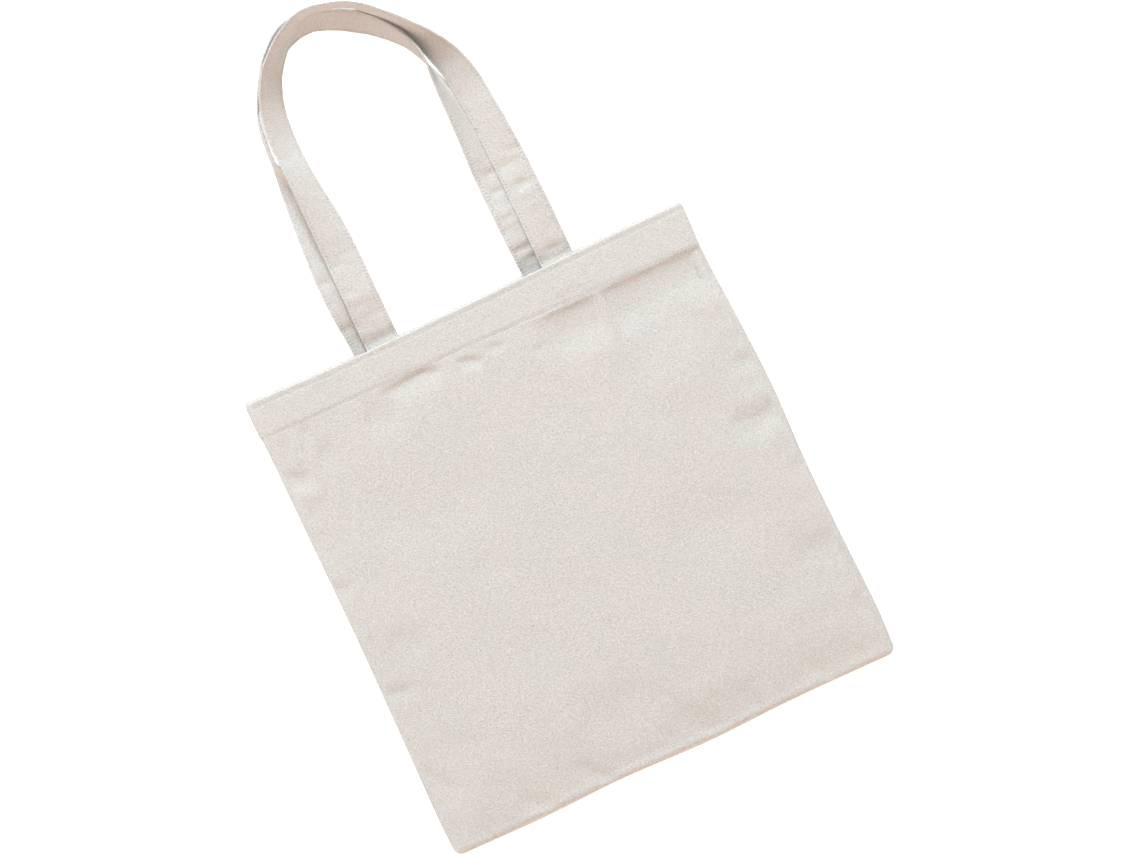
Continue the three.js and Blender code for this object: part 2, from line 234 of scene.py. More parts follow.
def add_stage():
    """Sky, lights and a plain white floor."""
    world = bpy.data.worlds.new("studio")
    bpy.context.scene.world = world
    world.use_nodes = True
    background = world.node_tree.nodes["Background"]
    background.inputs["Color"].default_value, background.inputs["Strength"].default_value = SKY
    for light in LIGHTS:
        add_area(*light)
    bpy.context.scene.view_settings.view_transform = "Standard"
    corners = [(-FLOOR_HALF, -FLOOR_HALF, 0), (FLOOR_HALF, -FLOOR_HALF, 0),
               (FLOOR_HALF, FLOOR_HALF, 0), (-FLOOR_HALF, FLOOR_HALF, 0)]
    floor = make_mesh("floor", corners, [(0, 1, 2, 3)])
    paint = bpy.data.materials.new("floor")
    paint.use_nodes = True
    shader = paint.node_tree.nodes["Principled BSDF"]
    shader.inputs["Base Color"].default_value = FLOOR_WHITE
    shader.inputs["Roughness"].default_value = 0.9
    shader.inputs["Specular IOR Level"].default_value = 0.2
    glow = shader.inputs["Emission Color"], shader.inputs["Emission Strength"]
    glow[0].default_value, glow[1].default_value = FLOOR_GLOW
    floor.data.materials.append(paint)


# ------------------------------------------------------------------ materials
class Graph:
    """Builds a shader graph: each call adds a node, sets its inputs and returns its output."""

    def __init__(self, name):
        self.material = bpy.data.materials.new(name)
        self.material.use_nodes = True
        self.tree = self.material.node_tree
        self.shader = self.tree.nodes["Principled BSDF"]

    def put(self, socket, value):
        if isinstance(value, bpy.types.NodeSocket):
            self.tree.links.new(value, socket)
        else:
            socket.default_value = value

    def add(self, kind, inputs, output=0, **settings):
        node = self.tree.nodes.new(kind)
        for name, value in settings.items():
            setattr(node, name, value)
        for name, value in inputs.items():
            self.put(node.inputs[name], value)
        return node.outputs[output]

    def math(self, operation, a, b=0.0, c=0.0):
        return self.add("ShaderNodeMath", {0: a, 1: b, 2: c}, operation=operation)

    def times(self, a, b):
        return self.math("MULTIPLY", a, b)

    def split(self, vector):
        node = self.tree.nodes.new("ShaderNodeSeparateXYZ")
        self.put(node.inputs[0], vector)
        return node.outputs

    def noise(self, where, scale, detail=2.0, roughness=0.5):
        inputs = {"Vector": where, "Scale": scale, "Detail": detail, "Roughness": roughness}
        return self.add("ShaderNodeTexNoise", inputs)

    def scaled(self, where, scale):
        return self.add("ShaderNodeVectorMath", {0: where, 1: scale}, operation="MULTIPLY")

    def range(self, value, low, high, to_low, to_high):
        inputs = {"Value": value, "From Min": low, "From Max": high, "To Min": to_low, "To Max": to_high}
        return self.add("ShaderNodeMapRange", inputs)

    def tint(self, color, factor):
        """Multiplies a colour by a grey factor."""
        grey = self.add("ShaderNodeCombineXYZ", {"X": factor, "Y": factor, "Z": factor})
        return self.add("ShaderNodeVectorMath", {0: color, 1: grey}, operation="MULTIPLY")

    def blend(self, factor, a, b):
        node = self.tree.nodes.new("ShaderNodeMix")
        node.data_type = "RGBA"
        for index, value in ((0, factor), (6, a), (7, b)):
            self.put(node.inputs[index], value)
        return node.outputs[2]

    def bump(self, height, distance, normal=None):
        inputs = {"Height": height, "Distance": distance, "Strength": 1.0}
        if normal is not None:
            inputs["Normal"] = normal
        return self.add("ShaderNodeBump", inputs)


WARMER = (0.985, 0.945, 0.89)           # what a warmer patch of cloth multiplies its colour by
SEED_FLECK = (0.12, 0.075, 0.045, 1)
THREAD_COLOR = (0.70, 0.685, 0.655)


def canvas_material(name, color, pitch, nap):
    """Plain-woven cotton: two sets of yarns, uneven yarn, seed flecks, a soft nap, and painted shade in the
    hollows between the yarns.
    """
    g = Graph(name)
    cloth = g.add("ShaderNodeAttribute", {}, output=1, attribute_name="cloth")
    sway = g.add("ShaderNodeTexNoise", {"Vector": cloth, "Scale": 0.16, "Detail": 1.0}, output=1)
    sway = g.add("ShaderNodeVectorMath", {0: sway, 1: (-0.5, -0.5, -0.5)}, operation="ADD")
    place = g.add("ShaderNodeVectorMath", {0: sway, 1: (0.9, 0.9, 0.0), 2: cloth}, operation="MULTIPLY_ADD")
    parts = g.split(place)
    turn = math.pi / pitch
    warp = g.math("SINE", g.times(parts[0], turn))
    weft = g.math("SINE", g.times(parts[1], turn))
    over = g.math("GREATER_THAN", g.times(warp, weft), 0.0)
    warp_hump = g.math("ABSOLUTE", warp)
    weft_hump = g.math("ABSOLUTE", weft)
    yarn = g.add("ShaderNodeMix", {0: over, 2: weft_hump, 3: warp_hump})
    crown = g.times(yarn, g.math("ADD", warp_hump, weft_hump))
    crown = g.math("SQRT", g.math("MAXIMUM", crown, 0.0))

    weft_slub = g.noise(g.scaled(place, (0.22, 1.5, 1.0)), 1.0, 3.0, 0.6)
    warp_slub = g.noise(g.scaled(place, (1.5, 0.16, 1.0)), 1.0, 3.0, 0.6)
    slub = g.math("ADD", g.times(weft_slub, 0.6), g.times(warp_slub, 0.4))
    blotch = g.noise(place, 0.02, 3.0, 0.55)
    crumple = g.noise(place, 0.11, 4.0, 0.6)
    grain = g.noise(place, 1.7, 2.0, 0.7)
    mottle = g.noise(g.scaled(place, (0.55, 0.95, 1.0)), 1.0, 3.0, 0.7)

    shade = g.range(slub, 0.3, 0.7, 0.93, 1.06)
    shades = (
        (blotch, 0.3, 0.7, 0.975, 1.02),
        # painted shade: the cloth's colour is darker in the hollows between the yarns' crowns
        (crown, 0.2, 1.2, 0.955, 1.02),
        (grain, 0.25, 0.75, 0.91, 1.09),
        (mottle, 0.3, 0.7, 0.78, 1.20),
    )
    for part in shades:
        shade = g.times(shade, g.range(*part))
    warm = tuple(c * k for c, k in zip(color, WARMER)) + (1,)
    tone = g.blend(g.range(blotch, 0.35, 0.7, 0.0, 0.35), (*color, 1), warm)
    tone = g.tint(tone, shade)
    cell = g.tree.nodes.new("ShaderNodeTexVoronoi")
    g.put(cell.inputs["Vector"], cloth)
    g.put(cell.inputs["Scale"], 0.035)
    picked = g.tree.nodes.new("ShaderNodeSeparateColor")
    g.put(picked.inputs[0], cell.outputs["Color"])
    rare = g.math("GREATER_THAN", picked.outputs[0], 0.86)
    spot = g.range(cell.outputs["Distance"], 0.010, 0.024, 0.75, 0.0)
    tone = g.blend(g.times(spot, rare), tone, SEED_FLECK)
    g.put(g.shader.inputs["Base Color"], tone)

    relief = g.bump(crumple, 0.0005)
    for height, distance in ((mottle, 0.0006), (slub, 0.00028), (crown, 0.00013)):
        relief = g.bump(height, distance, relief)
    g.put(g.shader.inputs["Normal"], relief)
    g.put(g.shader.inputs["Roughness"], g.range(slub, 0.3, 0.7, 0.95, 0.86))
    g.shader.inputs["Specular IOR Level"].default_value = 0.22
    g.shader.inputs["Sheen Weight"].default_value = nap
    g.shader.inputs["Sheen Roughness"].default_value = 0.45
    return g.material


def thread_material():
    """Sewing thread: two plies twisted round each other, with painted shade in the groove between them."""
    g = Graph("thread")
    cloth = g.add("ShaderNodeAttribute", {}, output=1, attribute_name="cloth")
    parts = g.split(cloth)
    twist = g.math("SINE", g.times(g.math("ADD", parts[0], parts[1]), 9.0))
    fuzz = g.noise(cloth, 3.0)
    # painted shade: the thread's colour is darker in the groove between its two plies
    shade = g.times(g.range(twist, -1, 1, 0.9, 1.03), g.range(fuzz, 0.3, 0.7, 0.95, 1.04))
    g.put(g.shader.inputs["Base Color"], g.tint(THREAD_COLOR, shade))
    g.put(g.shader.inputs["Normal"], g.bump(twist, 0.00006))
    g.shader.inputs["Roughness"].default_value = 0.62
    g.shader.inputs["Specular IOR Level"].default_value = 0.35
    g.shader.inputs["Sheen Weight"].default_value = 0.2
    return g.material


# ------------------------------------------------------------------ the bag's outline
# Each edge is a list of (place along it, where the cloth's edge is).
LEFT_EDGE = [(-328, -190.5), (-298, -191.4), (-240, -190.6), (-136, -189.3),
             (-60, -189.9), (10, -190.3), (66, -191.4)]
RIGHT_EDGE = [(-328, 192.5), (-290, 194), (-230, 192.6), (-160, 191.6), (-100, 193.2), (-60, 192.2),
              (0, 189.2), (40, 188.0), (66, 188.6)]
MOUTH_EDGE = [(-191, 66.0), (-160, 65.2), (-120, 64.0), (-72, 63.6),
              (0, 64.0), (80, 65.0), (140, 65.6), (189, 65.8)]
BOTTOM_EDGE = [(-190, -327.0), (-120, -328.0), (-50, -326.4), (30, -328.6), (100, -326.6), (193, -327.2)]
HEM_ROW = [(-190, 37.5), (-60, 35.8), (0, 35.4), (90, 33.2), (190, 31.6)]


def outline_points(up, across, lip=0.0):
    """Flat points of a panel. `up` is 0 at the bottom seam and 1 at the mouth, `across` is 0 at the left."""
    up, across = np.asarray(up)[:, None], np.asarray(across)[None, :]
    guess = -HALF_WIDTH + 2 * HALF_WIDTH * across
    low = smooth_values(BOTTOM_EDGE, guess)
    high = smooth_values(MOUTH_EDGE, guess) + lip
    y = low + (high - low) * up
    from_corner = np.clip(CORNER_RADIUS - (y - low), 0, CORNER_RADIUS)
    inset = CORNER_RADIUS - np.sqrt(np.maximum(CORNER_RADIUS**2 - from_corner**2, 0))
    left = smooth_values(LEFT_EDGE, y) + inset
    right = smooth_values(RIGHT_EDGE, y) - inset
    x = left + (right - left) * across
    return np.stack([x, y, np.zeros_like(x)], 2)


def edge_distance(grid):
    """How far each point is from the nearest sewn edge."""
    x, y = grid[..., 0], grid[..., 1]
    return np.maximum(np.minimum(HALF_WIDTH - np.abs(x), y - BOTTOM_Y - 2), 0)


def front_form(grid):
    """Height of what the front panel rests on: slack cloth and air, and the strap ends at the mouth."""
    middle = MIDDLE_LOFT + (MOUTH_LOFT - MIDDLE_LOFT) * smoothstep(-60, 50, grid[..., 1])
    return FRONT_SEAM_Z + (middle - FRONT_SEAM_Z) * (1 - np.exp(-edge_distance(grid) / 38))


def back_form(grid):
    """Height of what the back panel rests on, which is flat."""
    return np.full(grid.shape[:2], BACK_REST_Z)


# ------------------------------------------------------------------ cloth simulation
FORM_STEPS = 36                 # points along each side of the ground under the cloth
FORM_REACH = 0.03               # how far it reaches past the cloth, as a share of that side


def quads(ny, nx):
    """Faces of a grid of points stored row by row."""
    index = np.arange(ny * nx).reshape(ny, nx)
    corners = index[:-1, :-1], index[:-1, 1:], index[1:, 1:], index[1:, :-1]
    return np.stack(corners, -1).reshape(-1, 4)


def add_form(height, drop):
    """A temporary solid ground, `drop` below the height at which the cloth is sewn."""
    steps = np.linspace(-FORM_REACH, 1 + FORM_REACH, FORM_STEPS)
    low, high = np.array([-HALF_WIDTH, BOTTOM_Y]), np.array([HALF_WIDTH, MOUTH_Y])
    x, y = np.meshgrid(low[0] + (high[0] - low[0]) * steps, low[1] + (high[1] - low[1]) * steps)
    points = np.stack([x, y, np.zeros_like(x)], 2)
    points[..., 2] = height(points) - drop
    form = make_mesh("form", points.reshape(-1, 3), quads(FORM_STEPS, FORM_STEPS))
    form.modifiers.new("collision", "COLLISION")
    form.collision.thickness_outer = 0.001
    form.collision.cloth_friction = 8
    return form


def settle(height, lip, drop, frames, growth, seed):
    """Lets a sewn panel settle on its form. growth is its spare cloth: at the middle, along the seams."""
    ny = round((MOUTH_Y - BOTTOM_Y) / GRID) + 1
    nx = round(2 * HALF_WIDTH / GRID) + 1
    points = outline_points(np.linspace(0, 1, ny), np.linspace(0, 1, nx), lip)
    from_edge = edge_distance(points)
    waves = 0.5 + 0.5 * soft_noise(points[..., 0], points[..., 1], 26, seed)
    lift = 0.4 + smoothstep(0, 12, from_edge) * waves
    points[..., 2] = height(points) + lift
    index = np.arange(ny * nx).reshape(ny, nx)
    pinned = np.concatenate([index[0], index[-1], index[:, 0], index[:, -1]])
    cloth = make_mesh("cloth", points.reshape(-1, 3), quads(ny, nx))
    pins = cloth.vertex_groups.new(name="pins")
    pins.add(np.unique(pinned).tolist(), 1.0, "REPLACE")
    seams = cloth.vertex_groups.new(name="seams")
    for vertex, weight in enumerate(smoothstep(50, 8, from_edge).ravel()):
        seams.add([vertex], float(weight), "REPLACE")
    modifier = cloth.modifiers.new("cloth", "CLOTH")
    settings = modifier.settings
    settings.quality = 6
    settings.mass = 0.12
    settings.air_damping = 2.0
    settings.tension_stiffness = settings.compression_stiffness = 30
    settings.shear_stiffness = 12
    settings.bending_stiffness = 9
    settings.vertex_group_mass = "pins"
    settings.vertex_group_shrink = "seams"
    settings.shrink_min, settings.shrink_max = -growth[0], -growth[1]
    modifier.collision_settings.distance_min = 0.001
    modifier.collision_settings.use_self_collision = False
    modifier.point_cache.frame_end = frames
    form = add_form(height, drop)
    for step in range(1, frames + 1):
        bpy.context.scene.frame_set(step)
    evaluated = cloth.evaluated_get(bpy.context.evaluated_depsgraph_get())
    settled = np.empty(ny * nx * 3, np.float32)
    evaluated.data.vertices.foreach_get("co", settled)
    for helper in (cloth, form):
        bpy.data.objects.remove(helper)
    bpy.context.scene.frame_set(1)
    return settled.reshape(ny, nx, 3).astype(float) / MM


def side_places(length, step, close_far_end):
    """Distances along a side, close together at the sewn ends, as shares of its length."""
    near = np.array(EDGE_STEPS)
    stop = length - EDGE_STEPS[-1] if close_far_end else length
    middle = np.linspace(EDGE_STEPS[-1], stop, round((stop - EDGE_STEPS[-1]) / step) + 1)[1:]
    ends = [near, middle] + ([length - near[-2::-1]] if close_far_end else [])
    return np.concatenate(ends) / length


def finish_panel(settled, lip, hem_step):
    """The settled cloth on a finer grid that keeps the outline, and each point's place on flat cloth."""
    length = MOUTH_Y - BOTTOM_Y
    hem_zone = HEM_DEPTH + HEM_MARGIN
    below_hem = 1 - hem_zone / length
    up = side_places(length, FINE, False)
    up = up[up < below_hem]
    up = np.concatenate([up, np.linspace(below_hem, 1, round(hem_zone / hem_step) + 1)])
    across = side_places(2 * HALF_WIDTH, FINE, True)
    ny, nx = settled.shape[:2]
    coarse = outline_points(np.linspace(0, 1, ny), np.linspace(0, 1, nx), lip)
    fine, on_outline = (resample(grid, up * (ny - 1), across * (nx - 1)) for grid in (settled, coarse))
    flat = outline_points(up, across, lip)
    fine[..., :2] += (flat - on_outline)[..., :2]
    return fine, flat


# ------------------------------------------------------------------ relief pressed into the cloth
def fold(x, y, points, depth, above, below):
    """A valley along a line drawn left to right, with half widths on the mouth side and the bottom side."""
    line = curve_through(points, np.linspace(0, 1, 4 * len(points)))
    nearest = np.full(x.shape, 1e9)
    side = np.zeros(x.shape)
    along = np.zeros(x.shape)
    for i, (a, b) in enumerate(zip(line, line[1:])):
        run = b - a
        t = np.clip(((x - a[0]) * run[0] + (y - a[1]) * run[1]) / (run @ run), 0, 1)
        dx, dy = x - a[0] - t * run[0], y - a[1] - t * run[1]
        distance = np.hypot(dx, dy)
        closer = distance < nearest
        nearest = np.where(closer, distance, nearest)
        side = np.where(closer, run[0] * dy - run[1] * dx, side)
        along = np.where(closer, (i + t) / (len(line) - 1), along)
    width = np.where(side > 0, above, below)
    ends = smoothstep(0, 0.3, along) * smoothstep(1, 0.7, along)
    return -depth * np.exp(-(nearest / width) ** 2) * ends


# (line, depth, half width on the mouth side, half width on the bottom side); a negative depth is a ridge.
FRONT_FOLDS = [
    ([(-99, 29), (-78, 28.2), (-58, 30.4), (-45, 28), (-37, 22.5)], 2.3, 4.2, 10.5),
    ([(-114, 20), (-95, 13), (-72, 11)], 1.4, 10.8, 15.6),
    ([(-29, 27), (-18, 25), (-10, 21.5), (-6, 16.5)], 1.7, 3, 7.2),
    ([(-1, 27.5), (8, 26), (15, 21.5)], 0.9, 3, 6),
    ([(31, 10.5), (44, 6.5)], 0.8, 3.4, 4.8),
    ([(-203, 6), (-188, 0.5), (-177, -4), (-165, -10)], 1.7, 6, 13),
    ([(-186, -13), (-176, -18), (-164, -25)], -1.1, 9.5, 7.2),
    ([(-162, 29), (-152, 26)], 1.1, 6.1, 9.6),
    ([(-181, 27), (-170, 23)], 0.9, 5.4, 9.6),
    ([(-157, 7), (-143, 3)], 1.0, 6.8, 9.6),
    ([(148, -113), (160, -112), (172, -114.5), (192, -111), (206, -109)], 2.4, 9.5, 22),
    ([(140, -129), (165, -133), (190, -129), (206, -127)], -1.1, 10.8, 12),
    ([(144, -224), (168, -226), (190, -230), (206, -232)], 1.5, 10.8, 13.2),
    ([(183, -268), (186, -284), (190, -300)], 1.0, 3.5, 4.1),
    ([(-205, -91), (-188, -96), (-172, -101)], 1.1, 4.1, 7.2),
    ([(-204, -186), (-188, -188), (-174, -190), (-159, -195)], 1.1, 4.1, 7.2),
    ([(-198, -246), (-185, -258), (-174, -272), (-160, -287)], 1.3, 5.4, 8.4),
    ([(-128, -303), (-118, -313), (-106, -323), (-98, -334)], 1.0, 5.4, 6),
    ([(-83, -295), (-68, -308), (-52, -326), (-44, -338)], 1.3, 4.7, 7.2),
    ([(-164, -145), (-152, -157), (-141, -170)], 0.9, 8.1, 10.8),
    ([(-76, -117), (-68, -131), (-60, -146)], 0.7, 8.1, 10.8),
    ([(-62, -268), (-28, -277), (8, -270)], 1.2, 18.9, 21.6),
    ([(-10, -262), (14, -288), (38, -323), (46, -338)], 1.2, 8.1, 12),
    ([(95, -52), (131, -60), (165, -58)], -1.4, 24.3, 19.2),
    ([(-10, -286), (35, -290), (80, -282)], -1.1, 18.9, 14.4),
    ([(60, -160), (100, -172), (150, -176)], 1.0, 24.3, 24),
    ([(-150, -60), (-100, -66), (-40, -84)], 0.9, 21.6, 26.4),
    ([(95, 8), (130, -8), (178, -32)], 1.1, 12.2, 16.8),
    ([(120, -300), (133, -313), (140, -326), (145, -338)], 1.0, 5.4, 7.2),
    ([(170, -62), (182, -69), (194, -73), (206, -77)], 1.1, 5.4, 7.2),
    ([(60, -296), (72, -308), (80, -326), (84, -338)], 0.9, 5.4, 7.2),
]
FOLD_STRENGTH = 1.2
LUMP_HEIGHT = 1.3               # uneven cloth over the contents' lower end and along the sides
HEM_SHADOW_STEP = 4.4           # how far the slack cloth right of the middle falls below the hem
# a handle's sewn ends lift the front panel by this much
STRAP_IMPRINTS = {"front_handle": 0.55, "back_handle": 0.2}


def row_groove(y, row, depth):
    """The groove that a stitch row presses into the cloth."""
    return -depth * np.exp(-((y - row) / 1.1) ** 2)


def press_front(grid):
    """Folds, the raised hem with its two stitch rows, and the strap ends showing through."""
    x, y = grid[..., 0], grid[..., 1]
    hem_row = smooth_values(HEM_ROW, x)
    from_edge = edge_distance(grid)
    # uneven cloth, puckers along the seams, lumps
    relief = 1.2 * soft_noise(x, y, 85, 1.5) + 0.45 * soft_noise(x, y, 34, 7.5)
    side_pucker = soft_noise(x * 0.35, y, 13, 4.2) * smoothstep(30, 3, HALF_WIDTH - np.abs(x))
    bottom_pucker = soft_noise(x, y * 0.35, 14, 9.1) * smoothstep(30, 3, y - BOTTOM_Y)
    relief += 0.75 * (side_pucker + bottom_pucker) * smoothstep(MOUTH_Y, 20, y)
    lumps = 0.5 + 0.5 * soft_noise(x, y * 1.25, 27, 6.1)
    low, outer = smoothstep(-190, -275, y), smoothstep(120, 165, np.abs(x))
    relief += LUMP_HEIGHT * lumps * np.maximum(low, 0.5 * outer)
    # folds, which stop at the hem's double layer
    off_hem = FOLD_STRENGTH * smoothstep(hem_row, hem_row - 3, y)
    for line, depth, above, below in FRONT_FOLDS:
        relief += off_hem * fold(x, y, line, depth, above, below)
    in_hem = smoothstep(hem_row - 2.5, hem_row + 1.5, y)
    relief += 0.55 * in_hem
    # right of the middle the hem's lower edge stands proud of slack cloth, but for one spot
    slack = smoothstep(34, 62, x) * (1 - 0.75 * np.exp(-((x - 98) / 3.5) ** 2))
    slack *= 1 + 0.25 * soft_noise(x, y * 0, 21, 3.3)
    below_hem = 1 - np.exp(-np.maximum(31.5 - y, 0) / 5.5)
    relief -= HEM_SHADOW_STEP * slack * below_hem * smoothstep(-16, 14, y)
    relief += 0.35 * slack * np.exp(-((y - 30.5) / 2) ** 2)
    # the strap ends sewn behind the hem
    up_strap = smoothstep(STRAP_ENDS_Y + 1, STRAP_ENDS_Y + 8, y)
    for handle, height in STRAP_IMPRINTS.items():
        for centre in strap_centres(handle):
            over = smoothstep(STRAP_WIDTH / 2 + 2, STRAP_WIDTH / 2 - 1.5, np.abs(x - centre))
            relief += height * over * up_strap
    # ripples along the two stitch rows, and the grooves that they press in
    ripple = soft_noise(x, y * 0.5, 6, 2.4)
    near_row = np.exp(-((y - hem_row) / 4) ** 2) + 0.7 * np.exp(-((MOUTH_Y - MOUTH_ROW - y) / 4) ** 2)
    relief += 0.22 * ripple * near_row
    relief += row_groove(y, hem_row, 0.6) + row_groove(y, smooth_values(MOUTH_EDGE, x) - MOUTH_ROW, 0.5)
    seam_bulge = 2.0 * (1 - np.exp(-from_edge / 0.8)) - 0.5 * smoothstep(2, 9, from_edge)
    result = grid.copy()
    result[..., 2] += relief * smoothstep(0, 6, from_edge) + seam_bulge
    return result


def press_back(grid):
    """Puckers near the seams and a low ridge at each stitch row. Nothing goes below the resting surface."""
    x, y = grid[..., 0], grid[..., 1]
    from_edge = edge_distance(grid)
    mouth_row = smooth_values(MOUTH_EDGE, x) + BACK_LIP - MOUTH_ROW
    rows = np.exp(-((y - mouth_row) / 1.3) ** 2) + np.exp(-((y - smooth_values(HEM_ROW, x)) / 1.3) ** 2)
    result = grid.copy()
    pucker = 0.5 * soft_noise(x, y, 14, 6.6) * smoothstep(26, 4, from_edge)
    result[..., 2] += np.maximum(pucker, 0) + 0.45 * rows + 0.5 * np.exp(-from_edge / 2.5)
    result[..., 2] = np.maximum(result[..., 2], BACK_REST_Z)
    return result


# ------------------------------------------------------------------ hems
def hem_path():
    """Steps round the turned hem: (distance below the mouth edge, depth under the outer layer)."""
    path = []
    for angle in np.linspace(0, math.pi, 9)[1:]:
        path.append((-HEM_ROLL * math.sin(angle), HEM_ROLL * (1 - math.cos(angle))))
    for distance in np.linspace(0, HEM_DEPTH, 20)[1:]:
        path.append((distance, 2 * HEM_ROLL))
    for angle in np.linspace(0, math.pi, 6)[1:]:
        rise = RAW_ROLL * (1 - math.cos(angle))
        path.append((HEM_DEPTH + RAW_ROLL * math.sin(angle), 2 * HEM_ROLL - rise))
    for distance in np.linspace(HEM_DEPTH, HEM_DEPTH - RAW_EDGE, 6)[1:]:
        path.append((distance, 2 * (HEM_ROLL - RAW_ROLL)))
    return path


def add_hem(grid, flat, inwards):
    """Continues a panel over its mouth edge into the turned hem. inwards is -1 under it, +1 over it."""
    normals = grid_normals(grid)
    edge, edge_normal = grid[-1], normals[-1]
    steps = np.linalg.norm(np.diff(grid[::-1], axis=0), axis=2)
    below = np.vstack([np.zeros(grid.shape[1]), np.cumsum(steps, axis=0)])
    forward = grid[-1] - grid[-3]
    forward /= np.linalg.norm(forward, axis=1, keepdims=True)
    rows, places = [], []
    cloth_y = flat[-1, :, 1].copy()
    previous = None
    for distance, depth in hem_path():
        if distance < 0:
            base, normal = edge - forward * distance, edge_normal
        else:
            base = np.empty_like(edge)
            normal = np.empty_like(edge)
            for axis in range(3):
                for column in range(edge.shape[0]):
                    depths = below[:, column]
                    base[column, axis] = np.interp(distance, depths, grid[::-1, column, axis])
                    normal[column, axis] = np.interp(distance, depths, normals[::-1, column, axis])
        row = base + normal * depth * inwards
        cloth_y += np.linalg.norm(row - (edge if previous is None else previous), axis=1)
        previous = row
        rows.append(row)
        places.append(np.stack([flat[-1, :, 0], cloth_y, np.zeros_like(cloth_y)], 1))
    return np.concatenate([grid, rows]), np.concatenate([flat, places])


# ------------------------------------------------------------------ stitches
STITCH_SIDES = 6
# share of the stitch's length, share of its radius, height of its middle in radii
STITCH_RINGS = np.array([(0, 0.5, -1.1), (0.14, 0.95, 0.1), (0.5, 1.0, 0.45),
                         (0.86, 0.95, 0.1), (1, 0.5, -1.1)])


def stitch_mesh(name, starts, ends, normals):
    """Short threads lying on cloth: each comes up, runs along and goes back in."""
    starts, ends, normals = (np.asarray(v, float) for v in (starts, ends, normals))
    along = ends - starts
    side = np.cross(normals, along)
    side /= np.linalg.norm(side, axis=1, keepdims=True)
    share, thick, lift = STITCH_RINGS.T
    rings = len(share)
    middle = starts[:, None] + along[:, None] * share[None, :, None]
    middle = middle + normals[:, None] * (lift * THREAD_RADIUS)[None, :, None]
    angle = np.arange(STITCH_SIDES) * 2 * math.pi / STITCH_SIDES
    around = np.cos(angle)[:, None] * side[:, None, None] + np.sin(angle)[:, None] * normals[:, None, None]
    points = middle[:, :, None] + around * (THREAD_RADIUS * thick)[None, :, None, None]
    faces = []
    size = rings * STITCH_SIDES
    for ring in range(rings - 1):
        for k in range(STITCH_SIDES):
            a, b = ring * STITCH_SIDES + k, ring * STITCH_SIDES + (k + 1) % STITCH_SIDES
            faces.append((a, b, b + STITCH_SIDES, a + STITCH_SIDES))
    first = tuple(range(STITCH_SIDES - 1, -1, -1))
    last = tuple(range(size - STITCH_SIDES, size))
    count = len(starts)
    every = [tuple(v + i * size for v in face) for i in range(count) for face in faces + [first, last]]
    place = np.zeros((count, rings, STITCH_SIDES, 3))
    lengths = np.linalg.norm(along, axis=1)[:, None, None]
    place[..., 0] = np.arange(count)[:, None, None] * 1.7 + share[None, :, None] * lengths
    place[..., 1] = angle * THREAD_RADIUS
    return make_mesh(name, points.reshape(-1, 3), every, place.reshape(-1, 3))


def read_off(places, run, values):
    """Rows of values at places along a path, whose points lie at the distances in run."""
    return np.stack([np.interp(places, run, values[:, axis]) for axis in range(3)], 1)


def stitch_ends(path, normals, rng, run=None):
    """Where each stitch of a row starts and ends, and the cloth's normal there."""
    if run is None:
        run = np.concatenate([[0], np.cumsum(np.linalg.norm(np.diff(path, axis=0), axis=1))])
    count = int((run[-1] - STITCH_LENGTH) / STITCH_PITCH)
    start = (np.arange(count) + ROW_LEAD) * STITCH_PITCH + rng.uniform(-UNEVEN, UNEVEN, count)
    end = start + STITCH_LENGTH * rng.uniform(0.93, 1.05, count)
    starts, ends = read_off(start, run, path), read_off(end, run, path)
    n = read_off((start + end) / 2, run, normals)
    sway = rng.uniform(-UNEVEN, UNEVEN, (count, 1)) * np.cross(n, ends - starts) / STITCH_LENGTH
    return starts + sway, ends - sway, n


def surface_line(grid, rows, last_row):
    """Points and normals of a panel's middle layer along the line y = rows[column]."""
    normals = grid_normals(grid)
    points = []
    directions = []
    for column, y in enumerate(rows):
        place = np.interp(y, grid[:last_row, column, 1], np.arange(last_row))
        i = min(int(place), last_row - 2)
        t = place - i
        points.append(grid[i, column] * (1 - t) + grid[i + 1, column] * t)
        directions.append(normals[i, column] * (1 - t) + normals[i + 1, column] * t)
    return np.array(points), np.array(directions)


def panel_row(name, grid, last_row, y_of_x, centres, inwards, rng):
    """A stitch row through a hem: on its outer face, and inside over the hem and the strap ends."""
    x = grid[last_row - 1, :, 0]
    path, normals = surface_line(grid, smooth_values(y_of_x, x), last_row)
    keep = slice(ROW_SKIP, -ROW_SKIP)
    outward = -inwards
    outer = path + normals * outward * (CANVAS / 2)
    depth = np.full(len(x), 2 * HEM_ROLL + CANVAS / 2)
    for centre in centres:
        depth += (STRAP_THICKNESS + 0.15) * (np.abs(x - centre) < STRAP_WIDTH / 2 + 0.4)
    inner = path + normals * inwards * depth[:, None]
    sides = [stitch_ends(outer[keep], normals[keep] * outward, rng),
             stitch_ends(inner[keep], normals[keep] * inwards, rng)]
    return stitch_mesh(name, *(np.concatenate(pair) for pair in zip(*sides)))


# ------------------------------------------------------------------ seams inside the bag
ALLOWANCE_Z = 1.2               # middle of the lower of the two raw edges
LAYER_STEP = 0.8
SEAM_STEP = 3.0                 # spacing of the raw edges' points along a seam


def edge_line(edge, places, vertical):
    """Points of a sewn edge at places along it, and the direction into the bag."""
    where = smooth_values(edge, places)
    if vertical:
        inwards = np.array([-np.sign(where[0]), 0.0])
        return np.stack([where, places], 1), inwards
    return np.stack([places, where], 1), np.array([0.0, 1.0])


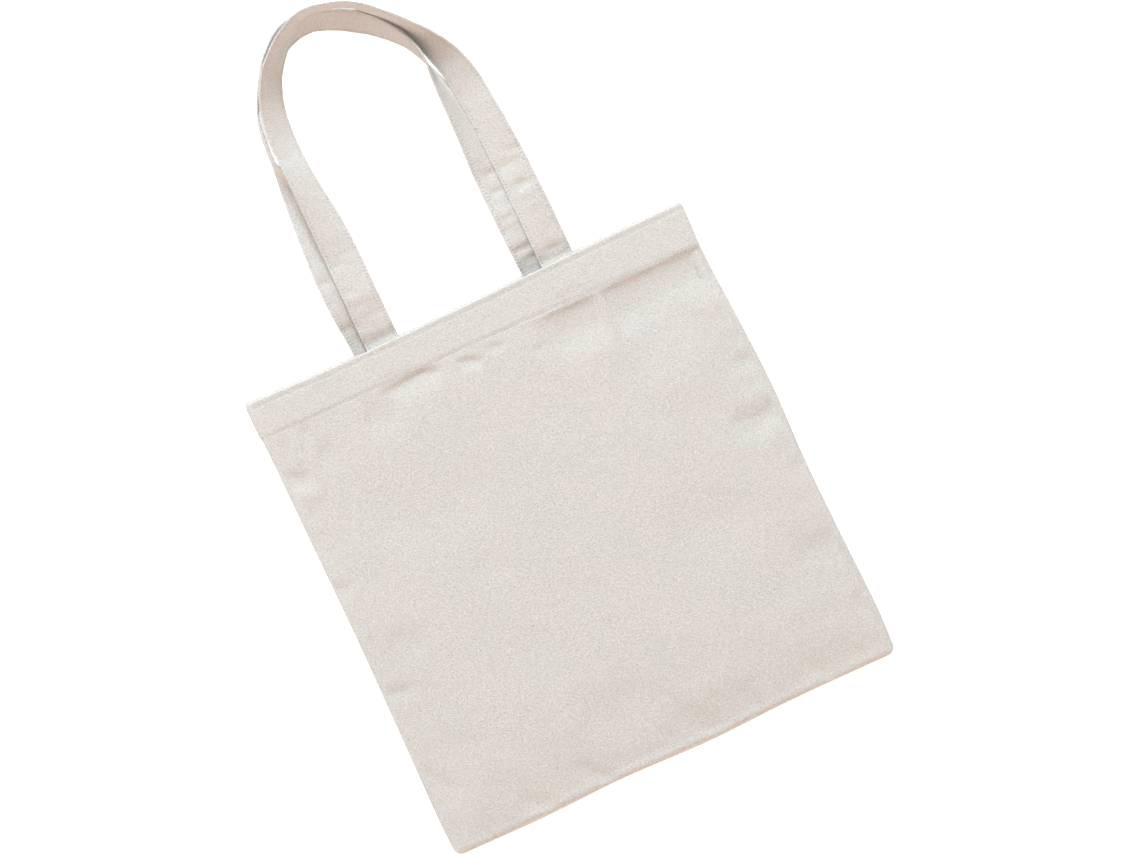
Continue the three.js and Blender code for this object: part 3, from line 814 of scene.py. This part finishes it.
def add_allowance(name, edge, places, vertical, rng):
    """Two raw edges inside a seam, spread a little, with the seam's stitches and an overlocked edge."""
    line, inwards = edge_line(edge, places, vertical)
    widths = np.linspace(0, ALLOWANCE_WIDTH, 8)
    start = line + inwards * ALLOWANCE_INSET
    flat = start[:, None] + widths[None, :, None] * inwards
    along = np.arange(len(places)) * SEAM_STEP
    vertices, faces, cloths, count = [], [], [], 0
    for layer in (0, 1):
        wave = soft_noise(along, along * 0 + layer * 40, 17, 5.5)[:, None] + 0.6
        splay = (0.12 + 0.42 * layer) * (widths[None, :] / ALLOWANCE_WIDTH) ** 2 * np.maximum(wave, 0)
        z = ALLOWANCE_Z + LAYER_STEP * layer + splay
        grid = np.concatenate([flat, z[..., None]], 2)
        if np.cross(inwards, line[-1] - line[0]) < 0:
            grid = grid[::-1]
        v, f, c = thick_grid(grid, grid * (1, 1, 0), CANVAS)
        vertices.append(v)
        faces.append(f + count)
        cloths.append(c)
        count += len(v)
    piece = make_mesh(f"{name}_seam_edges", np.vstack(vertices), np.vstack(faces), np.vstack(cloths))
    top = grid + grid_normals(grid) * CANVAS / 2
    up = np.tile((0.0, 0.0, 1.0), (len(top), 1))
    seam = stitch_ends(top[:, 1], up, rng)
    step = 2                        # an overlock loop takes two points of the edge
    outer, inner = top[:-step:step, -1] + (0, 0, 0.1), top[step // 2::step, -4][:len(top[:-step:step])]
    back = top[step::step, -1][:len(inner)] + (0, 0, 0.1)
    loops = np.concatenate([outer, inner]), np.concatenate([inner, back])
    parts = [seam, (*loops, np.tile((0.0, 0.0, 1.0), (len(loops[0]), 1)))]
    threads = stitch_mesh(f"{name}_seam_stitches", *(np.concatenate(part) for part in zip(*parts)))
    return piece, threads


# ------------------------------------------------------------------ straps
# Stations along a strap's free loop: its lower edge [x, y, z] and where its upper edge is [x, y].
# The upper edge's height follows from the strap's width.
FRONT_LOOP = [
    ((-58, 70, 9.0), (-86, 70)), ((-58, 78, 12.3), (-86, 78)), ((-58, 86, 13.8), (-86, 86)),
    ((-58, 94, 14.3), (-85.9, 94)), ((-58, 101, 15.6), (-85.9, 101)), ((-58, 108, 16.4), (-85.8, 108)),
    ((-58, 121, 16.6), (-85.8, 121)), ((-58, 140, 16.5), (-85.8, 140)), ((-59.3, 168, 16.2), (-85.5, 168)),
    ((-62, 190, 15.8), (-85.4, 190)), ((-64.2, 207, 15.8), (-85.3, 208)), ((-65.2, 219, 15), (-85.4, 221)),
    ((-65.7, 231, 12.6), (-85.6, 233)), ((-65.5, 248, 12), (-84.8, 251)),
    ((-62.5, 269, 14.4), (-80.6, 274)), ((-55.5, 288, 17.6), (-69.5, 296)),
    ((-46, 301.5, 20), (-55.5, 310.5)), ((-34, 313.5, 22), (-38.5, 322.5)),
    ((-18, 323.6, 24.6), (-19.5, 328.6)), ((-1, 322.6, 26), (0, 325.6)), ((16.8, 316.2, 25.5), (20, 317.6)),
    ((31.5, 302.2, 20.5), (38.5, 303.2)), ((44.2, 285.6, 17), (54.5, 286.5)),
    ((51.6, 269.5, 15.4), (68.4, 270.5)),
    ((56.4, 252, 14), (79, 254)), ((61, 234, 12.2), (85.5, 236)), ((63, 218, 10.8), (88.5, 219)),
    ((64.3, 204, 11), (89.8, 204.5)), ((65.5, 192, 11.4), (91, 192.5)), ((66, 172, 11.8), (92.4, 172)),
    ((66.5, 150, 12.4), (93.8, 150)), ((66.8, 130, 13.2), (94.3, 130)), ((67, 110, 13.8), (94.9, 110)),
    ((67, 94, 13.6), (95, 94)), ((67, 84, 12.7), (95, 84)), ((67, 77, 11.2), (95, 77)),
    ((67, 70, 8.8), (95, 70)),
]
BACK_LOOP = [
    ((-97, 70, 3.6), (-69, 70)), ((-97.4, 78, 4.6), (-69.4, 78)), ((-98.2, 87, 7), (-70.2, 87)),
    ((-99, 96, 9.8), (-71, 96)), ((-99.6, 105, 11.4), (-71.6, 105)), ((-99.9, 118, 11.8), (-71.9, 118)),
    ((-99.9, 134, 11), (-71.9, 134)), ((-98.5, 160, 8.6), (-70.5, 160)), ((-97, 182, 5.6), (-69.2, 183)),
    ((-95, 204, 3), (-71, 205.5)), ((-93.4, 216, 1.5), (-78.5, 217.5)), ((-91.8, 228, 1.3), (-88.2, 229)),
    ((-90.2, 250, 1.3), (-87.6, 250.5)), ((-85, 271, 1.3), (-84, 271.5)),
    ((-70.5, 288, 1.3), (-74, 291)), ((-53, 299, 1.3), (-61.5, 310)), ((-38.5, 309, 1.3), (-42.5, 325.5)),
    ((-20, 312.4, 1.3), (-20.5, 329.4)), ((-2, 306.4, 1.3), (2, 322.2)),
    ((11.5, 298.4, 1.3), (16.4, 315.2)),
    ((24, 290, 1.3), (31.5, 301.5)), ((35, 280, 1.3), (42.6, 286.6)), ((44.2, 269.5, 1.3), (50.4, 271)),
    ((51.8, 255, 1.3), (53.4, 255)), ((59.4, 236, 1.3), (51.8, 236)), ((65, 219, 1.6), (51.2, 219)),
    ((68.5, 204, 2.4), (50.7, 204)), ((72, 190, 3.5), (50.3, 190)), ((74.4, 170, 5), (49.4, 170)),
    ((76, 150, 6.6), (48.6, 150)), ((76.6, 130, 8.2), (48.8, 130)), ((77, 112, 9.6), (49.1, 112)),
    ((77.3, 102, 9.8), (49.3, 102)), ((77.6, 94, 8.6), (49.7, 94)), ((77.9, 86, 6.6), (50, 86)),
    ((78.2, 78, 4.6), (50.3, 78)), ((78.6, 70, 3.7), (50.6, 70)),
]
# A strap's section above its middle plane: distance in from the lower edge, height. The folded
# edges meet at the upper edge, which leaves a groove along it.
STRAP_TOP = [(0, 0), (0.06, 0.35), (0.3, 0.68), (0.8, 0.88), (1.5, 0.84), (2.4, 0.66), (3.3, 0.86),
             (5, 0.98), (8, 1.0), (11, 1.0), (14, 1.0), (17, 1.0), (20, 1.0), (23, 0.98), (24.7, 0.86),
             (25.6, 0.66), (26.5, 0.84), (27.2, 0.88), (27.7, 0.7), (27.95, 0.42), (27.85, 0.16),
             (27.2, 0.03)]
STRAP_STEP = 0.75
FLOOR_GAP = 0.05
STRAP_ROW_START = 5             # steps along the strap before its stitch rows start


class Strap:
    """A strap's middle surface: positions by distance along it and distance across it."""

    def __init__(self, low, high, dents, seed):
        low, high = np.array(low, float), np.array(high, float)
        share = np.linspace(0, 1, 1600)
        middle = curve_through((low + high) / 2, share)
        run = np.concatenate([[0], np.cumsum(np.linalg.norm(np.diff(middle, axis=0), axis=1))])
        self.length = run[-1]
        self.along = np.linspace(0, self.length, round(self.length / STRAP_STEP) + 1)
        share = np.interp(self.along, run, share)
        self.low = curve_through(low, share)
        across = curve_through(high, share) - self.low
        self.across = across / np.linalg.norm(across, axis=1, keepdims=True)
        normal = np.cross(np.gradient((self.low + curve_through(high, share)) / 2, axis=0), self.across)
        self.normal = normal / np.linalg.norm(normal, axis=1, keepdims=True)
        self.dents, self.seed = dents, seed

    def bulge(self, across):
        """How far the cloth stands off its middle plane at one distance across, along the whole strap."""
        s = self.along
        loose = smoothstep(28, 50, s) * smoothstep(28, 50, self.length - s)
        value = 0.34 * soft_noise(s, s * 0 + across * 0.55, 13, self.seed)
        value += 0.30 * soft_noise(s, s * 0 + across * 0.8, 37, self.seed + 5)
        value += 0.24 * soft_noise(s, s * 0 + across * 1.2, 6.5, self.seed + 9)
        return value * loose

    def creases(self, across):
        """How far the creases move the cloth at one distance across, along the whole strap."""
        s = self.along
        value = np.zeros(len(s))
        for leg, y, centre, depth, length, width in self.dents:
            from_end = y - STRAP_ENDS_Y
            place = from_end if leg == "left" else self.length - from_end
            shape = np.exp(-((s - place) / length) ** 2 - ((across - centre) / width) ** 2)
            value -= depth * shape * np.sign(self.normal[:, 2])
        return value

    def pull(self, across):
        """How far the stitches pull each face in, deepest between two stitches."""
        from_row = min(abs(across - STRAP_ROW), abs(STRAP_WIDTH - STRAP_ROW - across))
        first_hole = ROW_LEAD * STITCH_PITCH - (STITCH_PITCH - STITCH_LENGTH) / 2
        hole = self.along - self.along[STRAP_ROW_START] - first_hole
        between = 0.5 + 0.5 * np.cos(2 * math.pi * hole / STITCH_PITCH)
        return 0.34 * between ** 2 * math.exp(-(from_row / 1.0) ** 2)

    def points(self, across, height, pulled=True):
        """One line along the strap, `height` above its middle plane."""
        offset = self.bulge(across) + self.creases(across) + height
        if pulled:
            offset -= np.sign(height) * self.pull(across)
        line = self.low + self.across * across + self.normal * np.reshape(offset, (-1, 1))
        line[:, 2] = np.maximum(line[:, 2], FLOOR_GAP)
        return line


def strap_mesh(name, strap):
    """A closed band from the lines of the strap's section, with a face across each end."""
    section = STRAP_TOP + [(across, -height) for across, height in STRAP_TOP[:0:-1]]
    lines = np.array([strap.points(across, height) for across, height in section])
    count, steps = len(section), len(strap.along)
    index = np.arange(count * steps).reshape(count, steps)
    after = np.roll(index, -1, axis=0)
    sides = np.stack([index[:, :-1], index[:, 1:], after[:, 1:], after[:, :-1]], -1).reshape(-1, 4)
    faces = [tuple(face) for face in sides]
    half = len(STRAP_TOP)
    for end, order in ((0, -1), (steps - 1, 1)):
        ring = index[:, end]
        for k in range(half - 1):
            low, high = ring[-k], ring[-(k + 1)]
            corners = (ring[k + 1], ring[k], low, high)
            corners = tuple(dict.fromkeys(corners))
            faces.append(corners[::order])
    place = np.zeros((count, steps, 3))
    place[..., 0] = np.array([across for across, _ in section])[:, None]
    place[..., 1] = strap.along
    return make_mesh(name, lines.reshape(-1, 3), faces, place.reshape(-1, 3))


def strap_row(name, strap, across, rng):
    """A stitch row along a strap, on both its faces and almost from end to end."""
    faces = STRAP_TOP[:16]          # the section's points that run outward
    height = np.interp(across, *zip(*faces))
    keep = slice(STRAP_ROW_START, -STRAP_ROW_START)
    parts = []
    for face in (1, -1):
        path = strap.points(across, face * height, pulled=False)
        path[:, 2] = np.maximum(path[:, 2], FLOOR_GAP + 1.5 * THREAD_RADIUS)
        places = strap.along[keep] - strap.along[STRAP_ROW_START]
        parts.append(stitch_ends(path[keep], strap.normal[keep] * face, rng, places))
    return stitch_mesh(name, *(np.concatenate(part) for part in zip(*parts)))


def loop_edges(loop, ends, depth_at):
    """The two edges of a whole strap: its free loop between two sewn ends that follow the hem."""
    low = [np.array(station[0], float) for station in loop]
    high = []
    for lower, (x, y) in loop:
        rise = math.sqrt(max(0, STRAP_WIDTH**2 - math.hypot(x - lower[0], y - lower[1]) ** 2))
        high.append(np.array((x, y, lower[2] + rise)))
    sewn_y = np.array([STRAP_ENDS_Y, STRAP_ENDS_Y + 9, STRAP_ENDS_Y + 18, MOUTH_Y - 1])
    for (low_x, high_x), last in zip(ends, (False, True)):
        sewn = [[np.array((x, y, depth_at(x, y))) for y in sewn_y] for x in (low_x, high_x)]
        if last:
            low, high = low + sewn[0][::-1], high + sewn[1][::-1]
        else:
            low, high = sewn[0] + low, sewn[1] + high
    return low, high


# ------------------------------------------------------------------ assembly
def finish_piece(piece, material, slot, *nodes, body="bag"):
    """Gives a piece its material, hides the CAD nodes that it stands for and, unless it spans a joint, puts
    it on its body. slot is not used.
    """
    piece.data.materials.append(material)
    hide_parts(*nodes)
    if body:
        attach(piece, body)
    return piece


def cross_joint(piece):
    """Bakes the piece's placement into its mesh. The strap leaves the bag at the mouth edge."""
    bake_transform(piece)


add_camera()
add_stage()
canvas = canvas_material("canvas", (0.657, 0.648, 0.622), pitch=0.62, nap=0.15)
strap_canvas = canvas_material("strap_canvas", (0.660, 0.646, 0.622), pitch=0.66, nap=0.18)
thread = thread_material()
rng = np.random.default_rng(7)

# the two panels, each with its turned hem
settled_front = settle(front_form, lip=0.0, drop=1.2, frames=36, growth=(0.0, 0.008), seed=3.0)
settled_back = settle(back_form, lip=BACK_LIP, drop=0.2, frames=20, growth=(0.0, 0.006), seed=8.0)
front_grid, front_flat = finish_panel(settled_front, 0.0, HEM_FINE)
front_grid = press_front(front_grid)
back_grid, back_flat = finish_panel(settled_back, BACK_LIP, HEM_FINE)
back_grid = press_back(back_grid)

for name, grid, flat, inwards in (("front", front_grid, front_flat, -1), ("back", back_grid, back_flat, 1)):
    whole, places = add_hem(grid, flat, inwards)
    panel = make_mesh(f"{name}_panel_cloth", *thick_grid(whole, places, CANVAS))
    finish_piece(panel, canvas, "canvas", f"{name}_panel", f"{name}_hem")

# stitch rows through the hems
row_pieces = {"front": [], "back": []}
for name, grid, inwards, lip in (("front", front_grid, -1, 0.0), ("back", back_grid, 1, BACK_LIP)):
    centres = strap_centres(f"{name}_handle")
    mouth_row = [(x, y + lip - MOUTH_ROW) for x, y in MOUTH_EDGE]
    for row, line in (("mouth", mouth_row), ("hem", HEM_ROW)):
        piece = panel_row(f"{name}_{row}_stitches", grid, len(grid), line, centres, inwards, rng)
        row_pieces[name].append(finish_piece(piece, thread, "thread", f"{name}_{row}_stitching"))

# seams
side_places_y = np.arange(BOTTOM_Y + 14, MOUTH_Y - 1, SEAM_STEP)
bottom_places_x = np.arange(-HALF_WIDTH + 10, HALF_WIDTH - 9, SEAM_STEP)
SEAMS = (
    ("left", LEFT_EDGE, side_places_y, True),
    ("right", RIGHT_EDGE, side_places_y, True),
    ("bottom", BOTTOM_EDGE, bottom_places_x, False),
)
for name, edge, where, vertical in SEAMS:
    piece, threads = add_allowance(name, edge, where, vertical, rng)
    finish_piece(piece, canvas, "canvas", f"{name}_seam_allowance")
    finish_piece(threads, thread, "thread", f"{name}_seam_thread")

# straps
UNDER_HEM = 2 * HEM_ROLL + CANVAS / 2 + 0.1 + STRAP_THICKNESS / 2


def under_front(x, y):
    """Middle height of a strap end sewn under the front hem, from the nearest points of the cloth."""
    distance = np.hypot(front_grid[..., 0] - x, front_grid[..., 1] - y)
    near = np.argsort(distance.ravel())[:12]
    return front_grid.reshape(-1, 3)[near, 2].mean() - UNDER_HEM


def over_back(x, y):
    """Middle height of a strap end sewn over the back hem, which lies flat."""
    return BACK_REST_Z + UNDER_HEM


# Creases: leg, place up the leg (y), distance in from the lower edge, depth, half length, half width.
FRONT_DENTS = [
    ("left", 113, 20, 0.9, 3.4, 5), ("left", 137, 21, 0.9, 3.4, 6), ("left", 143, 12, 0.5, 3, 14),
    ("left", 90, 8, 0.8, 3.5, 7), ("right", 133, 16, 1.7, 4.2, 7.5), ("right", 152, 10, 0.9, 4, 11),
    ("right", 162, 22, 0.8, 3.6, 6), ("right", 77.5, 15, 1.3, 3.2, 9), ("right", 196, 19, 0.5, 5, 7),
]
BACK_DENTS = [
    ("left", 129, 6, 1.1, 4.2, 6), ("left", 111, 5, 0.6, 4, 5), ("left", 88, 5, 1.0, 4, 8),
    ("right", 152, 15, 1.4, 3.4, 5), ("right", 136.5, 16, 1.3, 3.4, 6), ("right", 114, 17, 1.1, 3.6, 7),
    ("right", 87, 18, 1.2, 3.4, 9), ("right", 77, 16, 0.9, 3.4, 9), ("right", 101, 24, -0.7, 3.6, 6),
]
HANDLES = (
    ("front_handle", FRONT_LOOP, ((-58, -86), (67, 95)), under_front, FRONT_DENTS, 11.0),
    ("back_handle", BACK_LOOP, ((-96.5, -68.5), (79, 51)), over_back, BACK_DENTS, 31.0),
)
for name, loop, ends, depth_at, dents, seed in HANDLES:
    strap = Strap(*loop_edges(loop, ends, depth_at), dents, seed)
    piece = strap_mesh(f"{name}_webbing", strap)
    nodes = (f"{name}_strap", f"{name}_left_end", f"{name}_right_end")
    finish_piece(piece, strap_canvas, "strap_canvas", *nodes, body=None)
    rows = []
    for side, across in (("lower", STRAP_ROW), ("upper", STRAP_WIDTH - STRAP_ROW)):
        row = strap_row(f"{name}_{side}_stitches", strap, across, rng)
        rows.append(finish_piece(row, thread, "thread", f"{name}_{side}_stitching", body=None))
    for part in (piece, *rows):
        cross_joint(part)
